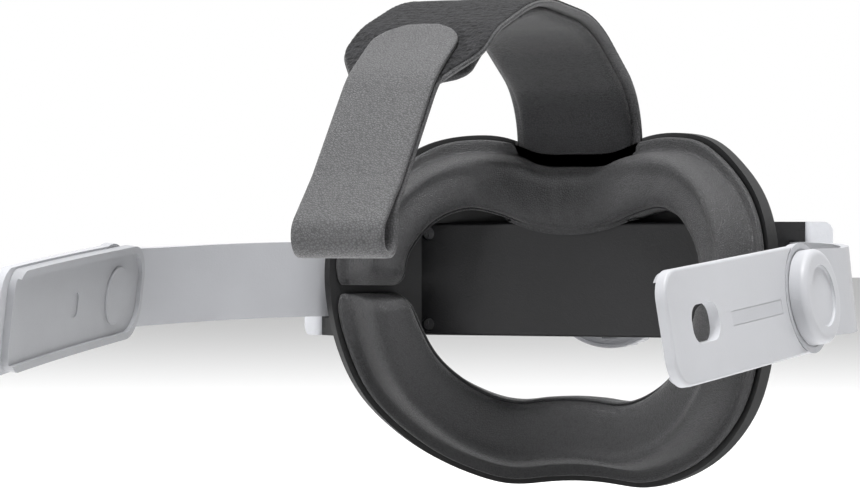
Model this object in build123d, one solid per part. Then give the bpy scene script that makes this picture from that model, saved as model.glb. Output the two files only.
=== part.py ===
from build123d import *

import os
from math import acos, asin, atan2, cos, degrees, hypot, pi, radians, sin, sqrt, tan

# A head strap for a VR headset. Millimetres, +X to the wearer's left, +Y to the back of
# the head, +Z up. The origin is on the head's vertical axis, level with the dial.
# Angles round the head are measured from straight back (+Y) towards +X.

# --- Dial, racks and housing -------------------------------------------------------------
rack_radius = 92.0          # middle of the racks' thickness, round the head's axis
gear_module = 1.0
gear_teeth = 12
pressure_angle = 25.0
tooth_addendum = 0.8
tooth_dedendum = 1.05
tooth_play = 0.12           # taken off each flank, on the gear and on the racks
loosen_angle = 12.0         # how far each arm slides out of the housing
tighten_angle = 2.5         # how far each arm slides in
slide_gap = 0.4             # round a rack in its channel
running_gap = 0.05          # round a turning shaft
seat_gap = 0.02             # round a shaft in a hub that turns with it
flat_gap = 0.1              # between stacked faces
washer_gap = 0.03           # on each side of a pivot washer

housing_half_width = 51.0   # the flat front panel
housing_half_height = 17.2
housing_front_y = 70.0
housing_end_angle = 52.5
housing_wall = 2.4
channel_floor = 3.0         # plastic in front of the channel, where the shaft's end turns
plate_thickness = 2.0
cover_depth = 8.0
cover_wall = 2.2
cover_overlap_angle = 0.9
shaft_radius = 3.0
boss_radius = 8.0
ratchet_radius = 9.0
ratchet_teeth = 24
ratchet_thickness = 2.6
spring_thickness = 0.6
spring_gap = 0.25
housing_screw_inset = 5.4   # from the panel's edge
housing_screw_rise = 3.3    # from the housing's bottom and top
screw_head_radius = 1.75
screw_shank_radius = 1.0
screw_recess_radius = 2.1

knob_radius = 22.0
knob_depth = 10.0
knob_gap = 5.5              # from the cover's back to the dial's face
knob_rim = 1.3
knob_grooves = 36
knob_cap_radius = 17.0
knob_cap_thickness = 1.6
knob_pocket_radius = 9.0

# --- Ring frame and cushions -------------------------------------------------------------
ring_axis_y = -4.0
ring_back_radius = 88.0
frame_thickness = 3.0
bridge_angle = 35.0         # the frame fills the hole's top corners above the housing
bridge_height = 9.0
patch_thickness = 0.8
cushion_thickness = 13.0
cushion_margin = 1.2        # the frame shows this much outside the cushions
cushion_split_z = -3.0
cushion_split = 2.0
soft_gap = 0.3
# Outline of the ring as (angle, height), from the middle of the top round to the bottom.
ring_outline = [(0, 39.6), (8, 39.9), (15.5, 43.2), (23, 43.9), (31, 41.6), (40, 33.7), (48, 23.5),
                (52.6, 11.5), (53.2, -5), (51.2, -18.5), (46.6, -33.2), (40, -44.2), (31, -54.0),
                (22, -60.1), (14.5, -62.7), (6, -61.8), (0, -61.4)]
ring_hole = [(0, 13.4), (8, 14.9), (17, 19.5), (24, 21.0), (31.5, 17.0), (37.5, 7.5), (38.3, -2.0),
             (36.7, -8.0), (31.5, -21.5), (25.2, -29.7), (18, -34.9), (12, -36.6), (6, -35.8),
             (0, -35.4)]

# --- Arms and clips ----------------------------------------------------------------------
band_height = 22.7
band_thickness = 2.2
band_exit_angle = 55.0      # the racks' arc carries on this far
pivot_out = 7.65            # the pivots stand this much further out than the racks
pivot_y = -39.8
pivot_z = -3.0
toe_in = 7.0                # at the pivot
flare = 8.0                 # the clips' lower edges lean outwards
clip_pitch = 4.0            # the clips dip towards the front
pivot_run = 20.0            # flat length of the band behind the pivot
band_end_radius = 14.2
collar_width = 1.5
disc_radius = 12.2
disc_height = 4.6           # above the clip's outer face
dish_radius = 7.9
dish_depth = 0.8
pin_radius = 3.0
pin_head_radius = 8.2
clip_height = 27.7
clip_front = 84.0           # from the pivot to the clip's front end
clip_ear = 19.0             # the inner plate reaches this far behind the pivot
clip_step = 5.0             # the inner plate stops this much short of the outer shell
clip_bend_radius = 1200.0
clip_outer_face = 1.3       # outer face, from the band's middle
inner_plate_thickness = 3.1
inner_recess = 1.2
recess_rim = 2.0
slot_length = 15.0
slot_height = 9.2
slot_from_front = 19.0
inner_slot_extra = 9.0      # the inner plate's slot runs this much further back
label_length = 32.0
label_height = 3.6
label_from_front = 50.0
label_depth = 0.3

# --- Top strap ---------------------------------------------------------------------------
strap_width = 40.0
tail_width = 25.0
strap_thickness = 1.8
hook_thickness = 0.6
pad_thickness = 3.0
pad_width = 35.0
pad_start = 0.38            # share of the strap's first straight length
pad_end = 0.25              # share of the length before the bend to the fold's run
taper_start_y = -55.0
taper_end_y = -73.0
fold_y = -108.6
fold_width = 9.2
fold_z = 8.3
# Corners of the strap's middle line in the YZ plane and the bend at each, from the ring
# up over the head and down to the fold.
arch_corners = [(80.9, 31.0), (79.6, 54.5), (38.0, 75.4), (-12.0, 78.2), (-47.0, 67.2),
                (-71.5, 51.8), (-99.4, 19.6)]
arch_bends = [22.0, 60.0, 80.0, 40.0, 20.0]
fold_bends = [7.0, 4.2, 4.2, 5.0, 20.0]
tail_end_y = -53.0
rivet_radius = 2.4
rivet_spacing = 22.0
rivet_z = 38.5

# --- Sizes that follow from the ones above -----------------------------------------------
channel_inner = rack_radius - band_thickness / 2 - slide_gap
channel_outer = rack_radius + band_thickness / 2 + slide_gap
plate_outer = channel_outer + plate_thickness
pivot_x = rack_radius + pivot_out
cover_outer = plate_outer + cover_depth
knob_face_y = cover_outer + knob_gap
channel_half_height = band_height / 2 + slide_gap
frame_front_radius = ring_back_radius - frame_thickness
cushion_back_radius = frame_front_radius - patch_thickness
cushion_front_radius = cushion_back_radius - cushion_thickness
gear_pitch_radius = gear_module * gear_teeth / 2
hook_offset = strap_thickness + hook_thickness
screw_x = housing_half_width - housing_screw_inset
screw_z = housing_half_height - housing_screw_rise


def round_point(radius, angle, axis_y=0.0):
    """Point at an angle round a vertical axis, seen from above."""
    return (radius * sin(radians(angle)), axis_y + radius * cos(radians(angle)))


def arc_block(inner, outer, start, end, low, high, axis_y=0.0):
    """Curved block between two radii, two angles and two heights."""
    middle = (start + end) / 2
    sides = [
        ThreePointArc(*[round_point(outer, a, axis_y) for a in (start, middle, end)]),
        Line(round_point(outer, end, axis_y), round_point(inner, end, axis_y)),
        ThreePointArc(*[round_point(inner, a, axis_y) for a in (end, middle, start)]),
        Line(round_point(inner, start, axis_y), round_point(outer, start, axis_y)),
    ]
    face = Pos(0, 0, low) * make_face(Wire(sides))
    return extrude(face, high - low, dir=(0, 0, 1))


def box_between(low, high):
    size = [h - l for l, h in zip(low, high)]
    centre = [(h + l) / 2 for l, h in zip(low, high)]
    return Pos(*centre) * Box(*size)


def rod(radius, start_y, end_y, x=0.0, z=0.0):
    """Cylinder along Y."""
    middle = (start_y + end_y) / 2
    return Pos(x, middle, z) * Rot(90, 0, 0) * Cylinder(radius, abs(end_y - start_y))


def mirrored(shape):
    return mirror(shape, about=Plane.YZ)


# --- Ring frame and cushions -------------------------------------------------------------
def inset_outline(points, distance, radius):
    """Move a half outline of (angle, height) points inwards by a distance in mm."""
    centre = ((points[0][1] + points[-1][1]) / 2)
    flat = [(radius * radians(a), z) for a, z in points]
    result = []
    for i, (s, z) in enumerate(flat):
        before = flat[i - 1] if i else (-flat[1][0], flat[1][1])
        after = flat[i + 1] if i + 1 < len(flat) else (-flat[-2][0], flat[-2][1])
        ds, dz = after[0] - before[0], after[1] - before[1]
        length = hypot(ds, dz)
        s, z = s + distance * dz / length, z - distance * ds / length
        result.append((degrees(s / radius), z))
    return [(0.0, result[0][1])] + result[1:-1] + [(0.0, result[-1][1])], centre


def radial_prism(points, near_y, far_y):
    """Solid whose sides run straight towards the ring's axis through an outline."""
    faces = []
    half = [(ring_back_radius * radians(a), z) for a, z in points]
    loop = half + [(-s, z) for s, z in reversed(half[:-1])]
    stops = [0.0]
    for (s0, z0), (s1, z1) in zip(loop, loop[1:]):
        stops.append(stops[-1] + hypot(s1 - s0, z1 - z0))
    for y in (near_y, far_y):
        reach = y - ring_axis_y
        right = [(reach * tan(radians(a)), y, z) for a, z in points]
        left = [(-x, y, z) for x, y, z in reversed(right[1:-1])]
        curve = Edge.make_spline(right + left, periodic=True, parameters=stops)
        faces.append(Face(Wire([curve])))
    return loft(faces, ruled=True)


def ring_shell(inner, outer, margin, hole_margin):
    """Ring between two radii, with the outline and the hole taken in by a margin."""
    outline, _ = inset_outline(ring_outline, margin, ring_back_radius)
    hole, _ = inset_outline(ring_hole, hole_margin, ring_back_radius)
    shell = arc_block(inner, outer, -75, 75, -90, 90, ring_axis_y)
    body = shell & radial_prism(outline, 8, 100)
    return body - radial_prism(hole, 6, 102)


def housing_envelope(gap):
    """The housing's front box with room round it."""
    side = housing_half_width + gap
    high = housing_half_height + gap
    return box_between((-side, housing_front_y - gap, -high), (side, cover_outer, high))


def strap_room(gap):
    """The space of the strap's lower end with its pad, and of the tongue behind it."""
    side = strap_width / 2 + gap
    front = arch_corners[0][0] - strap_thickness / 2 - pad_thickness - gap
    low = arch_corners[0][1] - gap
    return box_between((-side, front, low), (side, ring_back_radius + 5, 60))


def ring_frame():
    ring = ring_shell(frame_front_radius, ring_back_radius, 0.0, -1.5)
    ring -= housing_envelope(soft_gap)
    ring -= strap_room(soft_gap)
    bridge = ring_hole[1][1] + bridge_height
    ring += arc_block(frame_front_radius, ring_back_radius, -bridge_angle, bridge_angle,
                      housing_half_height, bridge, ring_axis_y)
    tongue_front = arch_corners[0][0] + strap_thickness / 2
    tongue = box_between((-strap_width / 2 + 2, tongue_front, arch_corners[0][1] - 8),
                         (strap_width / 2 - 2, tongue_front + 2.0, rivet_z + 5))
    for x in (-rivet_spacing / 2, rivet_spacing / 2):
        tongue -= rod(rivet_radius / 2 + seat_gap, tongue_front - 1, tongue_front + 3, x, rivet_z)
    ring += tongue - arc_block(0.1, frame_front_radius + 0.5, -80, 80, 0, 60, ring_axis_y)
    for shaft, _ in frame_screw_places():
        ring -= shaft
    return ring


def frame_screw_places():
    """Screw bodies that hold the ring to the housing's two ends, with room round them."""
    places = []
    for side in (-1, 1):
        for z in (-screw_z - 0.4, screw_z + 0.4):
            shift = Rot(0, 0, -side * 47.0)
            head = rod(screw_head_radius, frame_front_radius, frame_front_radius + 1.2)
            shank = rod(screw_shank_radius, frame_front_radius + 1.2, ring_back_radius + 4.5)
            place = Pos(0, ring_axis_y, z) * shift
            places.append((place * (head + shank), side))
    return places


def frame_screws():
    return Compound([place for place, _ in frame_screw_places()])


def cushion(low, high):
    body = ring_shell(cushion_front_radius, cushion_back_radius, cushion_margin, 0.0)
    body &= box_between((-90, -20, low), (90, 120, high))
    body -= housing_envelope(2 * soft_gap)
    return body - strap_room(2 * soft_gap)


def upper_cushion():
    return cushion(cushion_split_z + cushion_split / 2, 90)


def lower_cushion():
    return cushion(-90, cushion_split_z - cushion_split / 2)


def cushion_hook_patches():
    """Hook tape between the frame and the cushions."""
    patches = []
    for side in (-1, 1):
        for start, end, low, high in ((14, 27, 27, 34), (42, 48, 4, 15),
                                      (41, 47, -22, -9), (12, 27, -51, -43)):
            first, last = sorted((side * start, side * end))
            patches.append(arc_block(cushion_back_radius, frame_front_radius, first, last,
                                     low, high, ring_axis_y))
    return Compound(patches)


# --- Housing -----------------------------------------------------------------------------
def housing_screw_places():
    return [(x, z) for x in (-screw_x, screw_x) for z in (-screw_z, screw_z)]


def housing_front():
    high = housing_half_height
    ends = arc_block(74, plate_outer, -housing_end_angle, housing_end_angle, -high, high)
    ends -= arc_block(0.1, ring_back_radius, -89, 89, -high - 1, high + 1, ring_axis_y)
    panel = box_between((-housing_half_width, housing_front_y, -high),
                        (housing_half_width, plate_outer, high))
    panel = fillet(panel_front_edges(panel), 1.0)
    panel &= Cylinder(plate_outer, 3 * high)
    body = panel + ends
    room = channel_half_height
    body -= arc_block(channel_inner, channel_outer + 1, -60, 60, -room, room)
    seat = high - cover_wall + seat_gap
    body -= arc_block(channel_outer, plate_outer + 1, -60, 60, -seat, seat)
    floor = channel_inner - channel_floor
    pocket_y = housing_front_y + housing_wall
    for side in (-1, 1):
        pocket = box_between((boss_radius + 2, pocket_y, -room + 3),
                             (housing_half_width - housing_wall - 6, channel_outer, room - 3))
        body -= pocket if side > 0 else mirrored(pocket)
    body -= rod(shaft_radius + running_gap, floor, channel_inner + 1)
    for x, z in housing_screw_places():
        body -= rod(screw_recess_radius, housing_front_y - 1, housing_front_y + 2.2, x, z)
        body -= rod(screw_shank_radius + running_gap, housing_front_y, cover_outer, x, z)
    for place, _ in frame_screw_places():
        body -= place
    return body


def panel_front_edges(body):
    return [e for e in body.edges().filter_by(Axis.X)
            if abs(e.center().Y - housing_front_y) < 0.01]


def channel_plate():
    high = housing_half_height - cover_wall
    end = housing_end_angle
    plate = arc_block(channel_outer, plate_outer, -end, end, -high, high)
    plate -= rod(shaft_radius + running_gap, channel_inner, plate_outer + 2)
    for x, z in housing_screw_places():
        plate -= rod(screw_shank_radius + running_gap, housing_front_y, cover_outer, x, z)
    peg_x, peg_z = spring_anchor()
    return plate + rod(1.2, plate_flat_y(), plate_flat_y() + 5.5, peg_x, peg_z)


def plate_flat_y():
    """Y where the spring's peg starts, inside the curved plate."""
    return plate_outer - 1.8


def rear_cover():
    high = housing_half_height
    end = housing_end_angle + cover_overlap_angle
    shell = arc_block(plate_outer, cover_outer, -end, end, -high, high)
    shell = fillet(shell.edges().filter_by(Axis.Z).group_by(Axis.Y)[0], 2.0)
    rims = [e for e in shell.edges() if outer_rim(e)]
    shell = fillet(rims, 3.0)
    inside = high - cover_wall
    shell -= arc_block(plate_outer - 1, cover_outer - cover_wall, -end + 2.2, end - 2.2,
                       -inside, inside)
    shell += rod(boss_radius, cover_outer - cover_wall - 0.5, knob_face_y - 0.5)
    shell -= rod(shaft_radius + running_gap, channel_inner, knob_face_y + 1)
    for x, z in housing_screw_places():
        start = sqrt(plate_outer ** 2 - (abs(x) - 2.2) ** 2)
        post = rod(2.1, start, start + cover_depth - 1.5, x, z)
        post &= Cylinder(cover_outer - 1, 3 * high)
        post -= Cylinder(plate_outer, 3 * high)
        shell += post
        shell -= rod(screw_shank_radius + seat_gap, start - 3, screw_tip_y(), x, z)
    return shell


def outer_rim(edge):
    """True for the long curved edges on the cover's back."""
    middle = edge @ 0.5
    return abs(hypot(middle.X, middle.Y) - cover_outer) < 0.01 and abs(middle.Z) > 15


def screw_tip_y():
    return sqrt(plate_outer ** 2 - screw_x ** 2) + 4.5


def housing_screws():
    screws = []
    for x, z in housing_screw_places():
        head = rod(screw_head_radius, housing_front_y + 1.0, housing_front_y + 2.2, x, z)
        head -= box_between((x - 1.1, housing_front_y, z - 0.25),
                            (x + 1.1, housing_front_y + 1.5, z + 0.25))
        head -= box_between((x - 0.25, housing_front_y, z - 1.1),
                            (x + 0.25, housing_front_y + 1.5, z + 1.1))
        screws.append(head + rod(screw_shank_radius, housing_front_y + 2.2, screw_tip_y(), x, z))
    return Compound(screws)


# --- Dial --------------------------------------------------------------------------------
def flank_angle(radius):
    """Half the angle that a gear tooth fills at a radius, for an involute flank."""
    base = gear_pitch_radius * cos(radians(pressure_angle))
    at_pitch = radians(pressure_angle)
    here = acos(min(1.0, base / radius))
    half = pi / (2 * gear_teeth) - tooth_play / gear_pitch_radius
    return half + (tan(at_pitch) - at_pitch) - (tan(here) - here)


def gear_face():
    root = gear_pitch_radius - tooth_dedendum
    tip = gear_pitch_radius + tooth_addendum
    base = gear_pitch_radius * cos(radians(pressure_angle))
    radii = [root, base, (base + gear_pitch_radius) / 2, gear_pitch_radius,
             (gear_pitch_radius + tip) / 2, tip]
    points = []
    for tooth in range(gear_teeth):
        middle = pi / 2 + 2 * pi * tooth / gear_teeth
        rise = [(r, middle - flank_angle(max(r, base))) for r in radii]
        fall = [(r, middle + flank_angle(max(r, base))) for r in reversed(radii)]
        points += [(r * cos(a), r * sin(a)) for r, a in rise + fall]
    return make_face(Polyline(*points, close=True))


def pinion_shaft():
    face = Plane((0, 0, 0), x_dir=(1, 0, 0), z_dir=(0, -1, 0)) * gear_face()
    start = channel_inner + 0.3
    length = channel_outer - channel_inner - 0.9
    gear = Pos(0, start, 0) * extrude(face, length, dir=(0, 1, 0))
    shaft = rod(shaft_radius, channel_inner - channel_floor + 0.2, knob_face_y + 3.5)
    body = gear + shaft
    return body - rod(1.4 + seat_gap, knob_face_y - 6, knob_face_y + 4)


def ratchet_wheel():
    points = []
    for tooth in range(ratchet_teeth):
        for part, radius in ((0.0, ratchet_radius), (0.5, ratchet_radius - 0.7)):
            angle = 2 * pi * (tooth + part) / ratchet_teeth
            points.append((radius * cos(angle), radius * sin(angle)))
    face = Plane.XZ * make_face(Polyline(*points, close=True))
    start = plate_outer + 0.4
    wheel = Pos(0, start, 0) * extrude(face, ratchet_thickness, dir=(0, 1, 0))
    return wheel - rod(shaft_radius + seat_gap, start - 1, start + ratchet_thickness + 1)


def spring_anchor():
    return (ratchet_radius + 5.0, -6.0)


def detent_spring():
    """Leaf spring: an eye on the plate's peg and a finger that rides on the ratchet."""
    x, z = spring_anchor()
    start = plate_outer + 0.6
    end = start + ratchet_thickness - 0.5
    eye = rod(1.2 + seat_gap + spring_thickness, start, end, x, z)
    reach = ratchet_radius + spring_gap
    corners = [(x + 1.2 + seat_gap, z), (x + 1.0, z + 7.5), (reach, 3.0), (reach + 2.2, 9.5)]
    leaf = Pos(0, start, 0) * extrude(ribbon(corners, [2.0, 1.2], 0.0, spring_thickness),
                                      end - start, dir=(0, 1, 0))
    return eye + leaf - rod(1.2 + seat_gap, start - 1, end + 1, x, z)


def knob_grip():
    face, back = knob_face_y, knob_face_y + knob_depth
    body = rod(knob_radius, face, back)
    body = fillet(body.edges().filter_by(GeomType.CIRCLE), 1.0)
    for i in range(knob_grooves):
        angle = 2 * pi * i / knob_grooves
        middle = knob_radius + 0.7
        body -= rod(1.25, face + 2.6, back + 1, middle * cos(angle), middle * sin(angle))
    ring = rod(knob_radius - knob_rim, face - 1, face + 0.6)
    body -= ring - rod(boss_radius + 2, face - 2, face + 2)
    for angle in (-90, 30, 150):
        slot = Pos(knob_radius - 3.4, face + 0.6, 0) * Box(0.6, 2.4, 4.8)
        body -= Rot(0, -angle, 0) * slot
    body -= rod(knob_cap_radius + flat_gap, back - knob_cap_thickness, back + 1)
    body -= rod(knob_pocket_radius, face + 5.5, back)
    body -= rod(shaft_radius + seat_gap, face - 1, face + 3.7)
    return body - rod(1.4 + flat_gap, face + 3, face + 6)


def knob_cap():
    back = knob_face_y + knob_depth
    cap = rod(knob_cap_radius, back - knob_cap_thickness + 0.05, back + 0.4)
    cap = fillet(cap.edges().filter_by(GeomType.CIRCLE).sort_by(Axis.Y)[-1], 0.8)
    dish = Pos(0, back + 42, 0) * Sphere(42.3)
    return cap - dish


def knob_washer():
    start = knob_face_y - 0.45
    return rod(boss_radius - 1, start, start + 0.4) - rod(shaft_radius + 0.2, start - 1, start + 2)


def knob_screw():
    seat = knob_face_y + 5.5
    head = rod(3.2, seat, seat + 2.0) - Pos(0, seat + 2, 0) * Box(4.2, 1.6, 0.7)
    return head + rod(1.4, knob_face_y - 5.5, seat)


# --- Arms --------------------------------------------------------------------------------
def rack(side_z):
    """Toothed end of a band in the housing; side_z is +1 for the upper one, -1 for the lower.
    A gap between two teeth stands over the dial's axis."""
    inner = rack_radius - band_thickness / 2
    outer = rack_radius + band_thickness / 2
    pitch_angle = degrees(pi * gear_module / rack_radius)
    root = gear_pitch_radius + tooth_dedendum
    tip = gear_pitch_radius - tooth_addendum
    half = pi * gear_module / 4 - tooth_play
    slope = tan(radians(pressure_angle))
    first = -int((loosen_angle + 2) / pitch_angle) - 1
    last = int((tighten_angle + 3) / pitch_angle)
    start = (first - 0.2) * pitch_angle
    full = -start + 2 * tighten_angle + 1.5
    back = arc_block(inner, outer, start, full + 1, root, band_height / 2)
    tooth = Polyline((-half - tooth_dedendum * slope, root + 0.3),
                     (-half - tooth_dedendum * slope, root),
                     (-half + tooth_addendum * slope, tip),
                     (half - tooth_addendum * slope, tip),
                     (half + tooth_dedendum * slope, root),
                     (half + tooth_dedendum * slope, root + 0.3), close=True)
    face = Plane((0, inner, 0), x_dir=(1, 0, 0), z_dir=(0, -1, 0)) * make_face(tooth)
    solid = extrude(face, band_thickness, dir=(0, 1, 0))
    for i in range(first, last + 1):
        back += Rot(0, 0, -(i + 0.5) * pitch_angle) * solid
    if side_z < 0:
        back = mirror(back, about=Plane.XY)
    return back, full


def clip_plane():
    """Frame of the right clip: x forwards, y out of the clip's face, z up."""
    toe, lean, dip = radians(toe_in), radians(flare), radians(clip_pitch)
    forward = Vector(-sin(toe), -cos(toe), 0)
    outward = Vector(cos(toe), -sin(toe), 0)
    up = Vector(0, 0, 1) * cos(lean) - outward * sin(lean)
    tilted = forward * cos(dip) - up * sin(dip)
    raised = up * cos(dip) + forward * sin(dip)
    return Plane((pivot_x, pivot_y, pivot_z), x_dir=tilted, z_dir=raised)


def band_stations():
    """Middle line of the band from the racks' arc to the pivot, as (x, y, direction, share).
    Direction is the angle outwards from straight forwards. The line is the arc's tangent,
    a bend, and a straight run that ends at the pivot."""
    out = 90 - band_exit_angle
    start = round_point(rack_radius, band_exit_angle)
    toe = radians(toe_in)
    bend_end = (pivot_x + pivot_run * sin(toe), pivot_y + pivot_run * cos(toe))
    across = bend_end[0] - start[0]
    along = start[1] - bend_end[1]
    a, b = sin(radians(out)), cos(toe) - cos(radians(out))
    c, d = cos(radians(out)), sin(radians(out)) + sin(toe)
    bend = (c * across - a * along) / (c * b - a * d)
    straight = (across - b * bend) / a
    stations = []
    total = straight + bend * radians(out + toe_in) + pivot_run
    for share in (0.0, 0.5, 1.0):
        stations.append((start[0] + straight * share * a, start[1] - straight * share * c, out,
                         straight * share / total))
    x, y = stations[-1][:2]
    for step in range(1, 6):
        angle = out - (out + toe_in) * step / 5
        stations.append((x + bend * (cos(radians(angle)) - cos(radians(out))),
                         y - bend * (sin(radians(out)) - sin(radians(angle))), angle,
                         (straight + bend * radians(out - angle)) / total))
    return stations, total


def smooth(share):
    return share * share * (3 - 2 * share)


def band_run():
    """The band between the housing and the pivot, leaning more towards the pivot."""
    stations, total = band_stations()
    flat = 1 - pivot_run / total
    lift = pivot_run * sin(radians(clip_pitch))
    sections = []
    for x, y, direction, share in stations:
        part = smooth(min(1.0, share / flat))
        angle, lean = radians(direction), radians(flare) * part
        forward = Vector(sin(angle), -cos(angle), 0)
        outward = Vector(cos(angle), sin(angle), 0)
        up = Vector(0, 0, 1) * cos(lean) - outward * sin(lean)
        z = (pivot_z + lift) * part
        plane = Plane((x, y, z), x_dir=up, z_dir=forward)
        sections.append(plane * Rectangle(band_height, band_thickness))
    front = clip_plane()
    tip = Plane(front.origin, x_dir=front.z_dir, z_dir=front.x_dir)
    sections.append(tip * Rectangle(band_height, band_thickness))
    return loft(sections)


def band(side_z):
    """Right arm: rack, channel part, free run and the round end that holds the clip."""
    toothed, full = rack(side_z)
    inner = rack_radius - band_thickness / 2
    outer = rack_radius + band_thickness / 2
    high = band_height / 2
    body = toothed + arc_block(inner, outer, full, band_exit_angle, -high, high)
    body += band_run()
    place = clip_plane().location
    end = disc_between(band_end_radius, -band_thickness / 2, band_thickness / 2)
    collar = disc_between(band_end_radius, band_thickness / 2 - 0.1, clip_outer_face)
    collar -= disc_between(band_end_radius - collar_width, 0, clip_outer_face + 1)
    body += place * (end + collar)
    body -= place * disc_between(band_end_radius - collar_width, band_thickness / 2, 9)
    body -= place * disc_between(band_end_radius + 1, -9, -band_thickness / 2)
    return body - place * disc_between(pin_radius + running_gap, -9, 9)


def disc_between(radius, start, end):
    """Disc round the pivot between two depths of the clip's frame."""
    return rod(radius, start, end)


def disc_cap():
    top = clip_outer_face + disc_height
    start = band_thickness / 2 + 2 * flat_gap
    cap = disc_between(disc_radius, start, top)
    cap = fillet(cap.edges().filter_by(GeomType.CIRCLE).sort_by(Axis.Y)[-1], 1.8)
    dish = disc_between(dish_radius, top - dish_depth, top + 1)
    dish = fillet(dish.edges().filter_by(GeomType.CIRCLE).sort_by(Axis.Y)[0], 0.6)
    cap -= dish
    return cap - disc_between(pin_radius + seat_gap, start - 1, top - 2.4)


def pivot_pin():
    start = -band_thickness / 2 - inner_plate_thickness
    return disc_between(pin_radius, start + inner_recess, clip_outer_face + disc_height - 2.5)


def pivot_washer():
    start = band_thickness / 2 + washer_gap
    ring = disc_between(pin_radius + 4, start, start + 2 * flat_gap - 2 * washer_gap)
    return ring - disc_between(pin_radius + 0.3, start - 1, start + 1)


def bent_slab(start, end, low, high):
    """Slab between two depths, straight at the pivot and bent inwards towards the front."""
    turn = (end - band_end_radius) / clip_bend_radius
    centre_y = -clip_bend_radius

    def edge(depth):
        radius = clip_bend_radius + depth
        points = [(band_end_radius + radius * sin(t), centre_y + radius * cos(t))
                  for t in (0, turn / 2, turn)]
        return points

    outer, inner = edge(high), edge(low)
    sides = [Line((start, high), outer[0]), ThreePointArc(*outer), Line(outer[2], inner[2]),
             ThreePointArc(*reversed(inner)), Line(inner[0], (start, low)),
             Line((start, low), (start, high))]
    face = Pos(0, 0, -clip_height) * make_face(Wire(sides))
    return extrude(face, 2 * clip_height, dir=(0, 0, 1))


def clip_side(start, end, half, rear_radius, front_radius):
    """Side view of a clip piece as a thick prism."""
    length = end - start
    plate = Pos((start + end) / 2, 0, 0) * Box(length, 60, 2 * half)
    corners = plate.edges().filter_by(Axis.Y)
    rear = corners.group_by(Axis.X)[0]
    front = corners.group_by(Axis.X)[-1]
    plate = fillet(front, front_radius)
    if rear_radius:
        rear = plate.edges().filter_by(Axis.Y).group_by(Axis.X)[0]
        plate = fillet(rear, rear_radius)
    return plate


def clip_outer(has_slot):
    seat = -band_thickness / 2 - slide_gap + 0.1
    half = clip_height / 2
    body = clip_side(0.0, clip_front, half, 0.0, 7.0)
    body &= bent_slab(-1.0, clip_front + 5, seat, clip_outer_face)
    long_edges = [e for e in body.edges() if clip_outer_edge(e)]
    body = fillet(long_edges, 0.8)
    body -= disc_between(band_end_radius + slide_gap, -20, 20)
    if has_slot:
        body -= clip_slot(0.0)
    return body - label_recess(0.0)


def clip_outer_edge(edge):
    """True for the rounded long edges on the clip's outer face."""
    middle = edge @ 0.5
    radius = hypot(middle.X - band_end_radius, middle.Y + clip_bend_radius)
    far = abs(radius - clip_bend_radius - clip_outer_face) < 0.02 and middle.X > band_end_radius
    near = abs(middle.Y - clip_outer_face) < 0.02 and middle.X < band_end_radius
    return (far or near) and middle.X > 0.5


def clip_slot(extra):
    length, high = slot_length + extra, slot_height
    shape = Pos(clip_front - slot_from_front - extra / 2, 0, 0) * Box(length, 60, high)
    return fillet(shape.edges().filter_by(Axis.Y), high * 0.42)


def label_recess(gap):
    middle = clip_front - label_from_front
    shape = Pos(middle, 0, -0.6) * Box(label_length - 2 * gap, 60, label_height - 2 * gap)
    low = clip_outer_face - label_depth
    high = clip_outer_face + 3 if not gap else clip_outer_face - 0.05
    return shape & bent_slab(-1, clip_front, low, high)


def clip_label():
    return label_recess(flat_gap)


def clip_inner(has_slot):
    high = -band_thickness / 2 - slide_gap + 0.1
    low = high - inner_plate_thickness
    half = clip_height / 2 - 0.6
    end = clip_front - clip_step
    body = clip_side(-clip_ear, end, half, 10.0, 6.0) & bent_slab(-clip_ear - 1, end + 5, low, high)
    inside = clip_side(-clip_ear + recess_rim, end + 20, half - recess_rim, 8.5, 1.0)
    body -= inside & bent_slab(-clip_ear - 1, end + 5, low - 3, low + inner_recess)
    if has_slot:
        body -= clip_slot(inner_slot_extra)
    else:
        body -= clip_mark()
    return body - disc_between(pin_radius + seat_gap, -30, 30)


def clip_mark():
    """Small plain oblong moulded into the inner plate."""
    shape = fillet((Pos(31, 0, 0) * Box(4.6, 60, 6.6)).edges().filter_by(Axis.Y), 1.5)
    high = -band_thickness / 2 - slide_gap + 0.1
    floor = high - inner_plate_thickness + inner_recess
    return shape & bent_slab(-1, clip_front, floor - 5, floor + 0.4)


def pivot_inner_cap():
    high = -band_thickness / 2 - slide_gap + 0.1 - inner_plate_thickness + inner_recess
    cap = disc_between(pin_head_radius, high - 0.7, high)
    cap = chamfer(cap.edges().filter_by(GeomType.CIRCLE).sort_by(Axis.Y)[0], 0.3)
    start = -band_thickness / 2 - inner_plate_thickness + inner_recess
    return cap - disc_between(pin_radius + seat_gap, start, high + 1)


# --- Top strap ---------------------------------------------------------------------------
def offset_route(points, bends, distance):
    """Corners and bends of a route moved sideways; plus is to the right of its travel."""
    lines = []
    for (y0, z0), (y1, z1) in zip(points, points[1:]):
        length = hypot(y1 - y0, z1 - z0)
        ny, nz = (z1 - z0) / length, -(y1 - y0) / length
        lines.append((y0 + ny * distance, z0 + nz * distance, y1 - y0, z1 - z0))
    moved = [lines[0][:2]]
    new_bends = []
    for (y0, z0, dy0, dz0), (y1, z1, dy1, dz1), bend in zip(lines, lines[1:], bends):
        cross = dy0 * dz1 - dz0 * dy1
        t = ((y1 - y0) * dz1 - (z1 - z0) * dy1) / cross
        moved.append((y0 + dy0 * t, z0 + dz0 * t))
        new_bends.append(bend + distance * (1 if cross > 0 else -1))
    y, z, dy, dz = lines[-1]
    moved.append((y + dy, z + dz))
    return moved, new_bends


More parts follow.
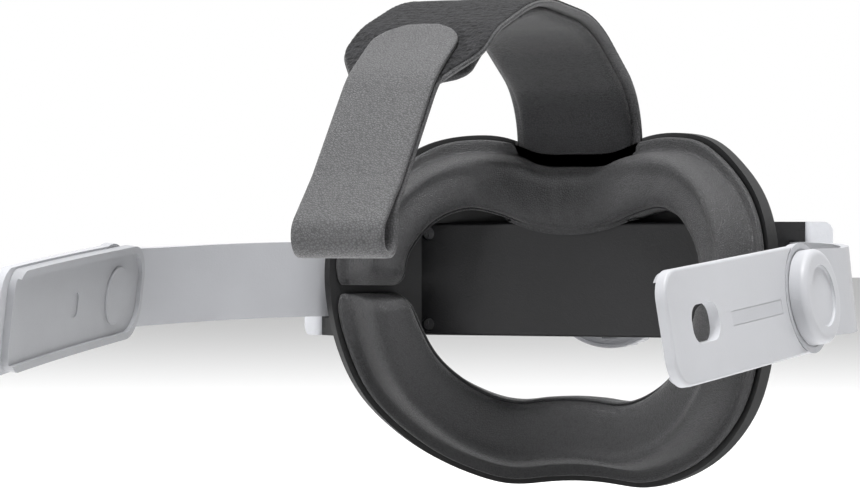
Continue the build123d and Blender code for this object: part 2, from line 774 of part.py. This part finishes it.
def ribbon(points, bends, low, high):
    """Flat strip along a route in the XZ plane of a sketch, between two sideways offsets."""
    face = ribbon_sketch(points, bends, low, high)
    return Plane((0, 0, 0), x_dir=(1, 0, 0), z_dir=(0, -1, 0)) * face


def ribbon_sketch(points, bends, low, high):
    first, first_bends = offset_route(points, bends, low)
    second, second_bends = offset_route(points, bends, high)
    one = FilletPolyline(*first, radius=first_bends)
    two = FilletPolyline(*second, radius=second_bends)
    ends = [Line(first[0], second[0]), Line(first[-1], second[-1])]
    return make_face(Wire(one.edges() + two.edges() + ends))


def strap_slab(points, bends, low, high, width):
    """Strip of a width across X that follows a route in the YZ plane."""
    face = Plane((0, 0, 0), x_dir=(0, 1, 0), z_dir=(1, 0, 0)) * ribbon_sketch(points, bends, low, high)
    return extrude(face, width / 2, both=True)


def strap_route():
    """Whole middle line of the strap: arch, fold and tail."""
    tail_corners, _ = offset_route(arch_corners[-3:], arch_bends[-1:], hook_offset)
    top, bend, _ = tail_corners
    lower = arch_corners[-1]
    run = (lower[0] - arch_corners[-2][0], lower[1] - arch_corners[-2][1])
    length = hypot(*run)
    spread = (bend[0] + run[0] / length * (length - 8), bend[1] + run[1] / length * (length - 8))
    share = (tail_end_y - bend[0]) / (top[0] - bend[0])
    end = (tail_end_y, bend[1] + share * (top[1] - bend[1]))
    near = (fold_y + fold_width, fold_z)
    far = (fold_y, fold_z)
    crest = (fold_y, fold_z + 6.8)
    points = arch_corners + [near, far, crest, spread, bend, end]
    bends = arch_bends + fold_bends + [arch_bends[-1] + hook_offset]
    return points, bends


def taper_outline():
    wide, slim = strap_width / 2, tail_width / 2
    right = [(wide, 120), (wide, taper_start_y), (slim, taper_end_y), (slim, -180)]
    left = [(-x, y) for x, y in reversed(right)]
    face = Pos(0, 0, -100) * make_face(Polyline(*(right + left), close=True))
    return extrude(face, 300, dir=(0, 0, 1))


def top_strap():
    points, bends = strap_route()
    half = strap_thickness / 2
    split = len(arch_corners) + 3
    cut = ((points[split][0] + points[split + 1][0]) / 2, (points[split][1] + points[split + 1][1]) / 2)
    arch = strap_slab(points[:split + 1] + [cut], bends[:split], -half, half, strap_width)
    arch &= taper_outline()
    tail = strap_slab([cut] + points[split + 1:], bends[split:], -half, half, tail_width)
    ends = tail.edges().filter_by(lambda e: abs((e @ 0.5).X) > tail_width / 2 - 0.1
                                  and (e @ 0.5).Y > tail_end_y - 1.5 and e.length < 3)
    tail = fillet(ends, 9.0)
    body = arch + tail
    for x in (-rivet_spacing / 2, rivet_spacing / 2):
        front = arch_corners[0][0] - 12
        body -= rod(rivet_radius / 2 + seat_gap, front, front + 24, x, rivet_z)
    return body


def strap_hook_patch():
    """Hook tape under the end of the tail."""
    points, bends = strap_route()
    split = len(points) - 3
    start = points[split]
    bend = points[split + 1]
    share = 0.45
    first = (bend[0] + (start[0] - bend[0]) * share, bend[1] + (start[1] - bend[1]) * share)
    last = points[-1]
    ease = 0.12
    last = (last[0] + (bend[0] - last[0]) * ease, last[1] + (bend[1] - last[1]) * ease)
    return strap_slab([first, bend, last], bends[-1:], strap_thickness / 2,
                      strap_thickness / 2 + hook_thickness, tail_width - 3)


def top_strap_pad():
    top = arch_corners[0][0] + (arch_corners[1][0] - arch_corners[0][0]) * pad_start
    first = (top, arch_corners[0][1] + (arch_corners[1][1] - arch_corners[0][1]) * pad_start)
    before, bend = arch_corners[4:6]
    last = (bend[0] + (before[0] - bend[0]) * pad_end, bend[1] + (before[1] - bend[1]) * pad_end)
    points = [first] + arch_corners[1:5] + [last]
    low = -strap_thickness / 2 - pad_thickness
    return strap_slab(points, arch_bends[:4], low, -strap_thickness / 2, pad_width)


def strap_rivets():
    front = arch_corners[0][0] - strap_thickness / 2
    back = arch_corners[0][0] + strap_thickness / 2 + 2.0
    rivets = []
    for x in (-rivet_spacing / 2, rivet_spacing / 2):
        shank = rod(rivet_radius / 2, front + 0.2, back, x, rivet_z)
        rivets.append(shank + rod(rivet_radius, back, back + 0.9, x, rivet_z))
    return Compound(rivets)


def arm_nodes(side, side_z, has_slot):
    """Nodes of one arm; the right arm is modelled and the left one is its mirror image."""
    place = clip_plane().location
    pieces = {
        "band": band(side_z),
        "pivot_washer": place * pivot_washer(),
        "disc_cap": place * disc_cap(),
        "pivot_pin": place * pivot_pin(),
        "pivot_inner_cap": place * pivot_inner_cap(),
        "clip_outer": place * clip_outer(has_slot),
        "clip_inner": place * clip_inner(has_slot),
        "clip_label": place * clip_label(),
    }
    if side == "left":
        pieces = {name: mirrored(shape) for name, shape in pieces.items()}
    return {side + "_" + name: shape for name, shape in pieces.items()}


def main():
    nodes = {
        "ring_frame": ring_frame(),
        "upper_cushion": upper_cushion(),
        "lower_cushion": lower_cushion(),
        "cushion_hook_patches": cushion_hook_patches(),
        "frame_screws": frame_screws(),
        "housing_front": housing_front(),
        "channel_plate": channel_plate(),
        "rear_cover": rear_cover(),
        "housing_screws": housing_screws(),
        "detent_spring": detent_spring(),
        "pinion_shaft": pinion_shaft(),
        "ratchet_wheel": ratchet_wheel(),
        "knob_washer": knob_washer(),
        "knob_grip": knob_grip(),
        "knob_cap": knob_cap(),
        "knob_screw": knob_screw(),
        "top_strap": top_strap(),
        "top_strap_pad": top_strap_pad(),
        "strap_hook_patch": strap_hook_patch(),
        "strap_rivets": strap_rivets(),
    }
    nodes.update(arm_nodes("right", 1, True))
    nodes.update(arm_nodes("left", -1, False))
    os.makedirs("parts", exist_ok=True)
    for name, shape in nodes.items():
        export_step(shape, "parts/" + name + ".step")


main()
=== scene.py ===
import math

import bpy
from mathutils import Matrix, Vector


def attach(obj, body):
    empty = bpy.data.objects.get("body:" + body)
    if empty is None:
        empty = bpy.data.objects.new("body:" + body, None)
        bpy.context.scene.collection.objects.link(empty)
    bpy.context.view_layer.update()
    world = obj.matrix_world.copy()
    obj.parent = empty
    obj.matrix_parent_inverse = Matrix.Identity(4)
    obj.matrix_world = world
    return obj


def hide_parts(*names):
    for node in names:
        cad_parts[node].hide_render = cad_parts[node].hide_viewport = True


MM = 0.001

# The ring's outline and its hole as (angle, height in mm), from the middle of the top round.
RING_OUTLINE = [(0, 39.6), (8, 39.9), (15.5, 43.2), (23, 43.9), (31, 41.6), (40, 33.7), (48, 23.5),
                (52.6, 11.5), (53.2, -5), (51.2, -18.5), (46.6, -33.2), (40, -44.2), (31, -54.0),
                (22, -60.1), (14.5, -62.7), (6, -61.8), (0, -61.4)]
RING_HOLE = [(0, 13.4), (8, 14.9), (17, 19.5), (24, 21.0), (31.5, 17.0), (37.5, 7.5), (38.3, -2.0),
             (36.7, -8.0), (31.5, -21.5), (25.2, -29.7), (18, -34.9), (12, -36.6), (6, -35.8),
             (0, -35.4)]
RING_AXIS_Y = -4.0
RING_RADIUS = 88.0
SPLIT_Z = -3.0              # height of the gap between the two cushions, and the ring's centre

CUSHION_BACK = 84.25        # radius of the cushions' backs
CUSHION_DEPTH = 13.2
FRAME_LIP = 1.7             # rim of the frame that shows round the cushions
SPLIT_ANGLE = 0.017         # half of the gap between the cushions
END_ROUND_ANGLE = 0.085     # where a cushion's end begins to round off
END_WIDTH = 0.78            # share of a cushion's width that is left at its end
HOUSING_CLEAR = (51.6, 17.7, 69.4)   # half width, half height and front, with a clearance
STRAP_END_CLEAR = (20.6, 30.4, 76.3)  # half width, lowest height and front, with a clearance

# The top strap's middle line: corners as (y, z) in mm, and the bend at each.
ARCH = [(80.9, 31.0), (79.6, 54.5), (38.0, 75.4), (-12.0, 78.2), (-47.0, 67.2), (-71.5, 51.8),
        (-99.4, 19.6)]
ARCH_BENDS = [24.0, 70.0, 90.0, 50.0, 30.0]
FOLD = [(-99.4, 8.3), (-108.6, 8.3), (-108.6, 15.3), (-95.9, 27.3), (-73.2, 53.5), (-49.5, 68.4)]
FOLD_BENDS = [7.0, 4.4, 4.4, 5.0, 30.0, 32.0]
STRAP_HALF = 20.0
STRAP_FACE = 0.9            # half of the strap's thickness
TAIL_HALF = 12.5
TAIL_SHARE = 0.55           # share of the strap's length at which the slim tail begins
TAIL_ROUND = 11.0           # length of the tail's round end
TAPER = (-55.0, -73.0)      # where the strap narrows, as y
LOOP_ENDS = (-78.0, 47.0)   # lowest y and height that the loop face reaches
PAD_ENDS = (-65.0, 36.0)    # lowest y and height that the pad reaches
PAD_HALF = 17.5
PAD_ROUND = 5.0             # length of the pad's narrowed ends
PAD_DEPTH = 3.05
BEND_STEPS = 16


# --- Shader building ---------------------------------------------------------------------
class Value:
    """One output of a shader node, with arithmetic."""

    def __init__(self, material, socket):
        self.material = material
        self.socket = socket

    def _with(self, operation, a, b=None):
        return self.material.node("ShaderNodeMath", {"operation": operation}, a, b)

    def __add__(self, other):
        return self._with("ADD", self, other)

    def __sub__(self, other):
        return self._with("SUBTRACT", self, other)

    def __rsub__(self, other):
        return self._with("SUBTRACT", other, self)

    def __mul__(self, other):
        return self._with("MULTIPLY", self, other)

    __radd__ = __add__
    __rmul__ = __mul__

    def ramp(self, low, high):
        """0 at low and 1 at high, held beyond them."""
        return self.material.node("ShaderNodeMapRange", {"clamp": True}, self, low, high)


class Material:
    """A procedural material in the making."""

    def __init__(self, name):
        self.data = bpy.data.materials.new(name)
        self.data.use_nodes = True
        self.tree = self.data.node_tree
        self.shader = self.tree.nodes["Principled BSDF"]
        coordinates = self.tree.nodes.new("ShaderNodeTexCoord")
        self.place = Value(self, coordinates.outputs["Object"])

    def node(self, kind, settings, *inputs, output=0, **named):
        """Any node: its type, its settings, then its inputs in order or by name."""
        made = self.tree.nodes.new(kind)
        for key, value in settings.items():
            setattr(made, key, value)
        pairs = [(made.inputs[i], x) for i, x in enumerate(inputs) if x is not None]
        pairs += [(made.inputs[key], x) for key, x in named.items()]
        for socket, x in pairs:
            if isinstance(x, Value):
                self.tree.links.new(x.socket, socket)
            else:
                socket.default_value = x
        return Value(self, made.outputs[output])

    def noise(self, scale, detail=3.0, place=None):
        return self.node("ShaderNodeTexNoise", {}, Vector=place or self.place, Scale=scale,
                         Detail=detail)

    def cells(self, scale, feature="F1"):
        return self.node("ShaderNodeTexVoronoi", {"feature": feature}, Vector=self.place,
                         Scale=scale)

    def stretch(self, x, y, z):
        return self.node("ShaderNodeVectorMath", {"operation": "MULTIPLY"}, self.place, (x, y, z))

    def blend(self, share, first, second):
        """Mix of two colours, each a link or (red, green, blue)."""
        colours = [x if isinstance(x, Value) else (*x, 1.0) for x in (first, second)]
        # a mix node's colours come after five sockets for other kinds of value
        return self.node("ShaderNodeMix", {"data_type": "RGBA"}, share, *[None] * 5, *colours,
                         output=2)

    def feed(self, name, value):
        socket = self.shader.inputs[name]
        if isinstance(value, Value):
            self.tree.links.new(value.socket, socket)
        else:
            socket.default_value = (*value, 1.0) if isinstance(value, tuple) else value

    def bump(self, height, distance):
        self.feed("Normal", self.node("ShaderNodeBump", {}, Height=height, Distance=distance,
                                      Strength=1.0))


def plastic(name, colour, rough, grain):
    """Moulded plastic: fine spark-eroded grain, slight tone change and handling marks."""
    m = Material(name)
    broad = m.noise(26.0, 2.0).ramp(0.35, 0.7)
    dark = tuple(c * 0.93 for c in colour)
    m.feed("Base Color", m.blend(broad, dark, colour))
    scuffs = m.noise(140.0, 4.0).ramp(0.45, 0.75)
    m.feed("Roughness", scuffs * 0.04 + broad * 0.03 + rough)
    m.feed("Specular IOR Level", 0.42)
    m.bump(m.noise(2600.0, 2.0) + m.cells(1500.0) * 0.5, grain)
    return m.data


def grained_leather(name, colour, rough, scale=1500.0, depth=0.00009):
    """Coated leather: small uneven cells, painted shade in the creases, and a soft sheen."""
    m = Material(name)
    warp = m.noise(90.0, 3.0)
    creases_and_painted_shade = m.cells(scale, "DISTANCE_TO_EDGE").ramp(0.0, 0.22)
    fine = m.cells(scale * 2.3, "DISTANCE_TO_EDGE").ramp(0.0, 0.3)
    broad = m.noise(18.0, 3.0).ramp(0.3, 0.7)
    light = tuple(c * 1.22 for c in colour)
    dark = tuple(c * 0.55 for c in colour)
    tone = m.blend(broad, colour, light)
    # painted shade: the base colour is darker in the creases
    m.feed("Base Color", m.blend(creases_and_painted_shade, dark, tone))
    m.feed("Roughness", (1.0 - creases_and_painted_shade) * 0.2 + warp * 0.14 + rough)
    m.feed("Sheen Weight", 0.2)
    m.feed("Sheen Roughness", 0.4)
    m.feed("Specular IOR Level", 0.45)
    m.bump(creases_and_painted_shade + fine * 0.45 + warp * 0.6, depth)
    return m.data


def loop_pile(name, colour):
    """Brushed loop fabric: tangled, fuzzy and uneven."""
    m = Material(name)
    tangle = m.noise(1500.0, 5.0, m.stretch(1.0, 0.6, 0.6))
    tufts = m.cells(520.0)
    light = tuple(c * 2.6 for c in colour)
    dark = tuple(c * 0.35 for c in colour)
    fleck = (tangle * 0.75 + tufts * 0.35).ramp(0.36, 0.78)
    m.feed("Base Color", m.blend(fleck, dark, light))
    m.feed("Roughness", 0.95)
    m.feed("Sheen Weight", 0.12)
    m.feed("Sheen Roughness", 0.5)
    m.feed("Specular IOR Level", 0.15)
    m.bump(tangle + tufts * 0.6, 0.0006)
    return m.data


def hook_tape(name, colour):
    """Hook tape: close rows of small hooks."""
    m = Material(name)
    rows = m.cells(900.0)
    m.feed("Base Color", m.blend(rows.ramp(0.1, 0.6), tuple(c * 0.4 for c in colour), colour))
    m.feed("Roughness", rows * 0.2 + 0.6)
    m.bump(rows, 0.0003)
    return m.data


def steel(name, colour, rough):
    """Turned and plated steel with fine lines."""
    m = Material(name)
    lines = m.noise(700.0, 4.0, m.stretch(1.0, 9.0, 1.0))
    m.feed("Base Color", m.blend(lines.ramp(0.3, 0.7), tuple(c * 0.8 for c in colour), colour))
    m.feed("Metallic", 1.0)
    m.feed("Roughness", lines * 0.15 + rough)
    m.bump(lines, 0.00002)
    return m.data


# --- Shape building ----------------------------------------------------------------------
def add_mesh(name, points, faces, material):
    """Smooth-shaded object of one material, from points in mm."""
    mesh = bpy.data.meshes.new(name)
    mesh.from_pydata([tuple(c * MM for c in p) for p in points], [], faces)
    mesh.validate()
    made = bpy.data.objects.new(name, mesh)
    bpy.context.scene.collection.objects.link(made)
    mesh.materials.append(material)
    for face in mesh.polygons:
        face.use_smooth = True
    return made


def loop_faces(rings, size):
    """Quads that join closed rings of the same size, and a face on each end."""
    faces = []
    for i in range(rings - 1):
        for j in range(size):
            k = (j + 1) % size
            faces.append((i * size + j, i * size + k, (i + 1) * size + k, (i + 1) * size + j))
    faces.append(tuple(reversed(range(size))))
    faces.append(tuple((rings - 1) * size + j for j in range(size)))
    return faces


def closed_curve(half, steps=24):
    """Smooth closed loop of (arc length, height) from a half outline, by Catmull-Rom."""
    right = [(RING_RADIUS * math.radians(a), z) for a, z in half]
    loop = right + [(-s, z) for s, z in reversed(right[1:-1])]
    points = []
    count = len(loop)
    for i in range(count):
        a, b, c, d = (Vector(loop[(i + k) % count]) for k in (-1, 0, 1, 2))
        for step in range(steps):
            t = step / steps
            points.append(0.5 * ((2 * b) + (c - a) * t + (2 * a - 5 * b + 4 * c - d) * t * t
                                 + (3 * b - a - 3 * c + d) * t ** 3))
    return points


def reach_by_angle(points):
    """Distance from the ring's centre as a function of direction, from a dense loop."""
    table = sorted((math.atan2(p.y - SPLIT_Z, p.x), math.hypot(p.x, p.y - SPLIT_Z)) for p in points)
    table = ([(a - 2 * math.pi, r) for a, r in table] + table
             + [(a + 2 * math.pi, r) for a, r in table])

    def reach(angle):
        low, high = 0, len(table) - 1
        while high - low > 1:
            middle = (low + high) // 2
            if table[middle][0] <= angle:
                low = middle
            else:
                high = middle
        (a0, r0), (a1, r1) = table[low], table[high]
        return r0 + (r1 - r0) * (angle - a0) / max(1e-9, a1 - a0)

    return reach


# Section of a cushion from its outer edge to its inner one: (share of the width, height share).
SECTION = [(0.0, 0.0), (0.0, 0.04), (0.006, 0.08), (0.02, 0.1), (0.06, 0.105), (0.115, 0.11),
           (0.14, 0.13), (0.155, 0.2), (0.165, 0.36), (0.177, 0.54), (0.195, 0.7), (0.222, 0.84),
           (0.255, 0.925), (0.295, 0.955), (0.335, 0.945), (0.38, 0.92), (0.43, 0.92),
           (0.51, 0.955), (0.61, 0.985), (0.7, 1.0), (0.79, 0.99), (0.85, 0.965), (0.9, 0.92),
           (0.93, 0.85), (0.944, 0.76), (0.95, 0.69), (0.958, 0.67), (0.968, 0.7), (0.98, 0.71),
           (0.991, 0.69), (0.998, 0.64), (1.0, 0.56), (1.0, 0.38), (1.0, 0.2), (1.0, 0.0),
           (0.75, 0.0), (0.5, 0.0), (0.25, 0.0)]


def cushion(name, start, end, material):
    """Crowned pad along part of the ring, with a welded edge, an inner piping and round ends."""
    outer = reach_by_angle(closed_curve(RING_OUTLINE))
    inner = reach_by_angle(closed_curve(RING_HOLE))
    count = 220
    points = []
    for i in range(count + 1):
        share = i / count
        # close stations near the ends, where the pad rounds off
        share = share - math.sin(2 * math.pi * share) * 0.9 / (2 * math.pi)
        angle = start + (end - start) * share
        near = min(share, 1 - share) * abs(end - start) / END_ROUND_ANGLE
        full = 1.0 if near >= 1 else math.sqrt(max(0.0, 1 - (1 - near) ** 2))
        full = max(full, 0.02)
        wide = 1.0 if near >= 1 else END_WIDTH + (1 - END_WIDTH) * full
        far, close = outer(angle) - FRAME_LIP, inner(angle)
        middle = (far + close) / 2
        ripple = 0.012 * math.sin(angle * 9.0) + 0.008 * math.sin(angle * 23.0 + 1.0)
        for across, height in SECTION:
            distance = middle + (far - middle) * wide * (1 - 2 * across)
            if across > 0.5:
                distance = middle + (close - middle) * wide * (2 * across - 1)
            swell = height * full * (1 + (ripple if 0.2 < across < 0.9 else 0.0))
            around = distance * math.cos(angle) / RING_RADIUS
            z = SPLIT_Z + distance * math.sin(angle)
            radius = CUSHION_BACK - CUSHION_DEPTH * swell
            x = radius * math.sin(around)
            y = RING_AXIS_Y + radius * math.cos(around)
            if abs(x) < HOUSING_CLEAR[0] and abs(z) < HOUSING_CLEAR[1]:
                y = min(y, HOUSING_CLEAR[2])
            if abs(x) < STRAP_END_CLEAR[0] and z > STRAP_END_CLEAR[1]:
                y = min(y, STRAP_END_CLEAR[2])
            points.append((x, y, z))
    return add_mesh(name, points, loop_faces(count + 1, len(SECTION)), material)


def rounded_route(corners, bends, step=0.9):
    """Even points along a route of corners with round bends, as (y, z)."""
    line = [Vector(corners[0])]
    for before, corner, after, bend in zip(corners, corners[1:], corners[2:], bends):
        b, c, a = Vector(before), Vector(corner), Vector(after)
        first, second = (b - c).normalized(), (a - c).normalized()
        half = first.angle(second) / 2
        reach = bend / math.tan(half)
        centre = c + (first + second).normalized() * (bend / math.sin(half))
        p, q = c + first * reach - centre, c + second * reach - centre
        turn = p.angle_signed(q)
        for i in range(BEND_STEPS + 1):
            angle = -turn * i / BEND_STEPS
            line.append(centre + Vector((p.x * math.cos(angle) - p.y * math.sin(angle),
                                         p.x * math.sin(angle) + p.y * math.cos(angle))))
    line.append(Vector(corners[-1]))
    even = [line[0]]
    travelled = 0.0
    for a, b in zip(line, line[1:]):
        length = (b - a).length
        at = step - travelled
        while at <= length:
            even.append(a + (b - a) * (at / length))
            at += step
        travelled = (travelled + length) % step
    even.append(line[-1])
    return even


def route_length(route):
    return sum((b - a).length for a, b in zip(route, route[1:]))


def strip(name, route, low, high, half_width, edge, material, fuzz=0.0, across=13):
    """Flat strip along a route, with rounded edges, between two sideways offsets.

    A fuzz above 0 makes its upper face uneven by up to that much, in a fixed pattern.
    """
    points = []
    middle = (low + high) / 2
    half_thick = (high - low) / 2
    spread = [math.sin(math.pi / 2 * (2 * j / (across - 1) - 1)) for j in range(across)]
    for i, p in enumerate(route):
        ahead = route[min(i + 1, len(route) - 1)] - route[max(i - 1, 0)]
        side = Vector((ahead.y, -ahead.x)).normalized()
        width = half_width(i / (len(route) - 1), p)
        for sign in (1, -1):
            for j in range(across):
                t = spread[j] * sign
                inset = max(0.0, abs(t) * width - (width - edge)) / edge
                thick = half_thick * math.sqrt(max(0.0, 1 - min(1.0, inset) ** 2))
                rough = fuzz * math.sin(i * 12.9898 + j * 78.233) * math.sin(i * 4.1 + j * 9.7)
                lift = middle + sign * (thick + (rough if sign > 0 else 0.0))
                points.append((t * width, p.x + side.x * lift, p.y + side.y * lift))
    return add_mesh(name, points, loop_faces(len(route), across * 2), material)


def strap_width(p):
    """Half width of the strap from its worn end to the slim run of its tail."""
    part = min(1.0, max(0.0, (p.x - TAPER[0]) / (TAPER[1] - TAPER[0])))
    part = part * part * (3 - 2 * part)
    return STRAP_HALF + (TAIL_HALF - STRAP_HALF) * part


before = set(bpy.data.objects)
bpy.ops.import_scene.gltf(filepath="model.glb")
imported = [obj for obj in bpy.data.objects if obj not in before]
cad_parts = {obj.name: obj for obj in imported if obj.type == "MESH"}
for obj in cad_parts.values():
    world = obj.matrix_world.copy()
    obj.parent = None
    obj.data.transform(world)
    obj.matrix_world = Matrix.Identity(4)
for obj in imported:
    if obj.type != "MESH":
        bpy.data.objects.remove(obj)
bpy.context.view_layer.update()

# --- Camera ------------------------------------------------------------------------------
camera_data = bpy.data.cameras.new("camera")
camera_data.lens = 125.58
camera_data.sensor_width = 36.0
camera_data.clip_end = 20.0
camera = bpy.data.objects.new("camera", camera_data)
camera.location = (0.287627, -0.787143, 0.011995)
camera.rotation_euler = (math.radians(89.9), 0.0, math.radians(21.2))
bpy.context.scene.collection.objects.link(camera)
bpy.context.scene.camera = camera

# --- Materials ---------------------------------------------------------------------------
light_plastic = plastic("light plastic", (0.37, 0.375, 0.395), 0.42, 0.00003)
clip_shell = plastic("clip shell plastic", (0.40, 0.405, 0.425), 0.42, 0.00003)
# painted shade: the clip shell's plastic made darker for the shade on the clips' inner side
clip_plate_painted_shade = plastic("clip plate plastic", (0.30, 0.305, 0.32), 0.46, 0.00003)
white_plastic = plastic("white plastic", (0.58, 0.59, 0.62), 0.38, 0.00003)
black_plastic = plastic("black plastic", (0.006, 0.006, 0.0065), 0.55, 0.00005)
panel_plastic = plastic("housing plastic", (0.008, 0.008, 0.009), 0.42, 0.00005)
dark_plastic = plastic("dark plastic", (0.06, 0.06, 0.065), 0.4, 0.00003)
cushion_leather = grained_leather("cushion leather", (0.03, 0.03, 0.032), 0.3)
strap_leather = grained_leather("strap leather", (0.075, 0.075, 0.078), 0.46, 1400.0, 0.0001)
pad_leather = grained_leather("pad leather", (0.016, 0.016, 0.018), 0.5, 1500.0, 0.00008)
loops = loop_pile("loop fabric", (0.009, 0.009, 0.01))
hooks = hook_tape("hook tape", (0.03, 0.03, 0.032))
screw_steel = steel("screw steel", (0.3, 0.3, 0.31), 0.35)

FINISHES = {
    "ring_frame": black_plastic, "housing_front": panel_plastic, "channel_plate": black_plastic,
    "rear_cover": white_plastic, "knob_grip": light_plastic, "knob_cap": white_plastic,
    "pinion_shaft": dark_plastic, "ratchet_wheel": dark_plastic, "frame_screws": screw_steel,
    "housing_screws": screw_steel, "detent_spring": screw_steel, "knob_screw": screw_steel,
    "knob_washer": screw_steel, "strap_rivets": screw_steel, "cushion_hook_patches": hooks,
    "strap_hook_patch": hooks, "band": light_plastic, "pivot_washer": dark_plastic,
    "disc_cap": clip_shell, "pivot_pin": screw_steel, "pivot_inner_cap": clip_plate_painted_shade,
    "clip_outer": clip_shell, "clip_inner": clip_plate_painted_shade, "clip_label": light_plastic,
}
for name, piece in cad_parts.items():
    plain = name.replace("left_", "").replace("right_", "")
    if plain in FINISHES:
        piece.data.materials.clear()
        piece.data.materials.append(FINISHES[plain])

# --- Cushions ----------------------------------------------------------------------------
upper = cushion("upper_cushion_cover", math.pi - SPLIT_ANGLE, SPLIT_ANGLE, cushion_leather)
lower = cushion("lower_cushion_cover", -SPLIT_ANGLE, -math.pi + SPLIT_ANGLE, cushion_leather)
for piece, node in ((upper, "upper_cushion"), (lower, "lower_cushion")):
    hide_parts(node)
    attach(piece, "rear_unit")

# --- Top strap ---------------------------------------------------------------------------
worn = rounded_route(ARCH, ARCH_BENDS)
whole = rounded_route(ARCH + FOLD, ARCH_BENDS + FOLD_BENDS)


def tail_width(share, p):
    """Half width of the whole strap, with a round end on the tail."""
    left = (1 - share) * strap_length
    wide = strap_width(p) if share < TAIL_SHARE else TAIL_HALF
    if left >= TAIL_ROUND:
        return wide
    return max(0.4, wide * math.sqrt(max(0.0, 1 - (1 - left / TAIL_ROUND) ** 2)))


strap_length = route_length(whole)
web = strip("strap_web", whole, -STRAP_FACE, STRAP_FACE, tail_width, 0.8, strap_leather)
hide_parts("top_strap")

loop_run = [p for p in worn if p.x > LOOP_ENDS[0] and p.y > LOOP_ENDS[1]]
pile = strip("strap_loop_face", loop_run, 0.75, 1.35, lambda share, p: strap_width(p) - 0.5,
             0.6, loops, fuzz=0.09, across=41)


def pad_width(share, p):
    """Half width of the pad, which narrows a little at each end."""
    left = min(share, 1 - share) * pad_length
    if left > PAD_ROUND:
        return PAD_HALF
    return PAD_HALF * (math.sqrt(max(0.02, 1 - (1 - left / PAD_ROUND) ** 2)) * 0.3 + 0.7)


pad_run = [p for p in worn if p.x > PAD_ENDS[0] and p.y > PAD_ENDS[1]]
pad_length = route_length(pad_run)
pad = strip("strap_pad_cover", pad_run, -STRAP_FACE - PAD_DEPTH, -STRAP_FACE, pad_width, 3.2,
            pad_leather, across=21)
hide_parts("top_strap_pad")

# the hook tape lies on the tail's inner side, near its end
hook_run = whole[-34:-9]
patch = strip("strap_hook_tape", hook_run, STRAP_FACE, 1.45, lambda share, p: 10.5, 0.3, hooks)
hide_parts("strap_hook_patch")
for piece, finish in ((web, "strap_leather"), (pile, "black_textile"), (pad, "strap_leather"),
                      (patch, "black_textile")):
    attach(piece, "rear_unit")

# --- Floor and light ---------------------------------------------------------------------
FLOOR_HALF = 6
FLOOR_HEIGHT = -0.075
floor_corners = [(FLOOR_HALF * x, FLOOR_HALF * y, FLOOR_HEIGHT)
                 for x, y in ((-1, -1), (1, -1), (1, 1), (-1, 1))]
floor_data = bpy.data.meshes.new("floor")
floor_data.from_pydata(floor_corners, [], [(0, 1, 2, 3)])
floor = bpy.data.objects.new("floor", floor_data)
bpy.context.scene.collection.objects.link(floor)
floor_finish = Material("floor")
floor_finish.feed("Base Color", (0.9, 0.9, 0.9))
floor_finish.feed("Roughness", 0.9)
floor_data.materials.append(floor_finish.data)

world = bpy.data.worlds.new("studio")
world.use_nodes = True
background = world.node_tree.nodes["Background"]
background.inputs["Color"].default_value = (1.0, 1.0, 1.0, 1.0)
# white all round, but dimmer on the side that the cushions face
facing = world.node_tree.nodes.new("ShaderNodeTexCoord")
split = world.node_tree.nodes.new("ShaderNodeSeparateXYZ")
fade = world.node_tree.nodes.new("ShaderNodeMapRange")
for socket, level in (("From Min", -0.35), ("From Max", 0.6), ("To Min", 0.12), ("To Max", 1.0)):
    fade.inputs[socket].default_value = level
world.node_tree.links.new(facing.outputs["Generated"], split.inputs[0])
world.node_tree.links.new(split.outputs[1], fade.inputs[0])
world.node_tree.links.new(fade.outputs[0], background.inputs["Strength"])
bpy.context.scene.world = world
bpy.context.scene.view_settings.view_transform = "Standard"


def soft_light(name, at, size, power):
    """Area light that points at the middle of the object; at and size in metres."""
    data = bpy.data.lights.new(name, "AREA")
    data.shape = "RECTANGLE"
    data.size, data.size_y = size
    data.energy = power
    made = bpy.data.objects.new(name, data)
    made.location = at
    made.rotation_euler = (Vector((0, 0, 0)) - Vector(at)).to_track_quat("-Z", "Y").to_euler()
    bpy.context.scene.collection.objects.link(made)


soft_light("key", (0.2, -0.4, 1.2), (0.4, 0.4), 26.0)
soft_light("fill", (-0.9, -0.8, 0.5), (0.35, 0.35), 6.0)
soft_light("top", (0.0, 0.5, 1.3), (1.2, 0.6), 4.0)
